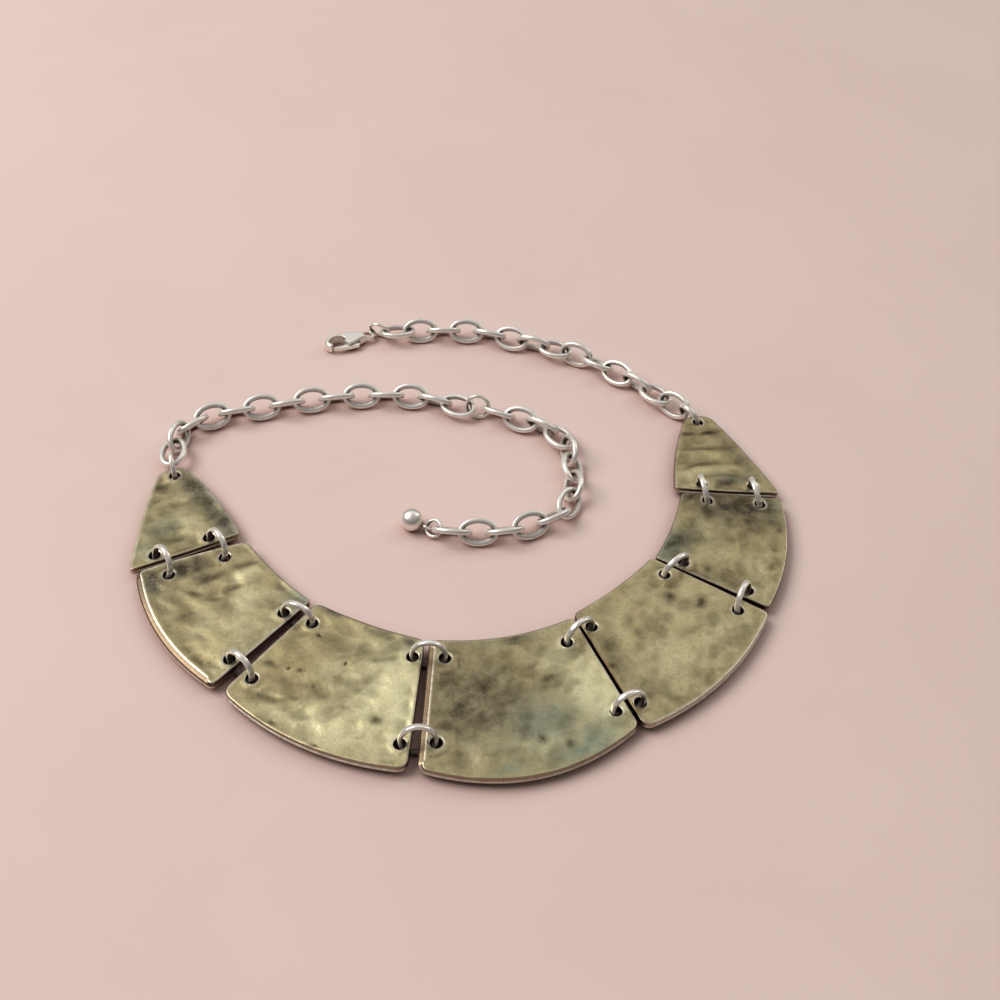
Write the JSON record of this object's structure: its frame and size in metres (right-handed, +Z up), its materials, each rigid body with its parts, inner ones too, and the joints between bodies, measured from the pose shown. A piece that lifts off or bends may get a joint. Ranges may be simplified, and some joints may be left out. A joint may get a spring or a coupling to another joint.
{
  "type": "bib choker necklace",
  "caption": "Bib choker of curved hammered metal plates joined by jump rings, with cable chains, a lobster clasp and an extension chain, lying flat.",
  "frame": {"origin": "middle of the box that holds the choker as it lies, on the surface it lies on", "axes": "+X along the bib's width, +Y from the bib towards the open clasp end, +Z up from the surface"},
  "size_m": [0.1396, 0.1294, 0.0075],
  "materials": {
    "hammered_plate": "hammered, antiqued olive gold with grey patina",
    "jump_ring": "antiqued silver plate, satin",
    "chain": "antiqued silver plate, satin",
    "clasp": "antiqued silver plate, satin"
  },
  "bodies": {
    "choker": {"plate_1": "hammered_plate", "plate_2": "hammered_plate", "plate_3": "hammered_plate", "plate_4": "hammered_plate", "plate_5": "hammered_plate", "plate_6": "hammered_plate", "plate_7": "hammered_plate", "plate_ring_12_outer": "jump_ring", "plate_ring_12_inner": "jump_ring", "plate_ring_23_outer": "jump_ring", "plate_ring_23_inner": "jump_ring", "plate_ring_34_outer": "jump_ring", "plate_ring_34_inner": "jump_ring", "plate_ring_45_outer": "jump_ring", "plate_ring_45_inner": "jump_ring", "plate_ring_56_outer": "jump_ring", "plate_ring_56_inner": "jump_ring", "plate_ring_67_outer": "jump_ring", "plate_ring_67_inner": "jump_ring", "end_ring_left": "jump_ring", "end_ring_right": "jump_ring", "extender_ring": "jump_ring", "clasp_ring": "jump_ring", "ball_ring": "jump_ring", "left_link_01": "chain", "left_link_02": "chain", "left_link_03": "chain", "left_link_04": "chain", "left_link_05": "chain", "left_link_06": "chain", "left_link_07": "chain", "left_link_08": "chain", "left_link_09": "chain", "left_link_10": "chain", "left_link_11": "chain", "left_link_12": "chain", "left_link_13": "chain", "left_link_14": "chain", "right_link_01": "chain", "right_link_02": "chain", "right_link_03": "chain", "right_link_04": "chain", "right_link_05": "chain", "right_link_06": "chain", "right_link_07": "chain", "right_link_08": "chain", "right_link_09": "chain", "right_link_10": "chain", "right_link_11": "chain", "right_link_12": "chain", "right_link_13": "chain", "right_link_14": "chain", "extender_chain_1": "chain", "extender_chain_2": "chain", "extender_chain_3": "chain", "extender_chain_4": "chain", "end_ball": "chain", "clasp_body": "clasp"},
    "lever": {"clasp_lever": "clasp"}
  },
  "joints": [
    {"name": "clasp_lever_hinge", "type": "hinge", "parent": "choker", "child": "lever", "pos_m": [-0.03282, 0.05564, 0.0013], "axis": [0, 0, -1], "range_deg": [0, 25], "stiffness_Nm_per_rad": 0.004, "springref_deg": -28.65}
  ]
}
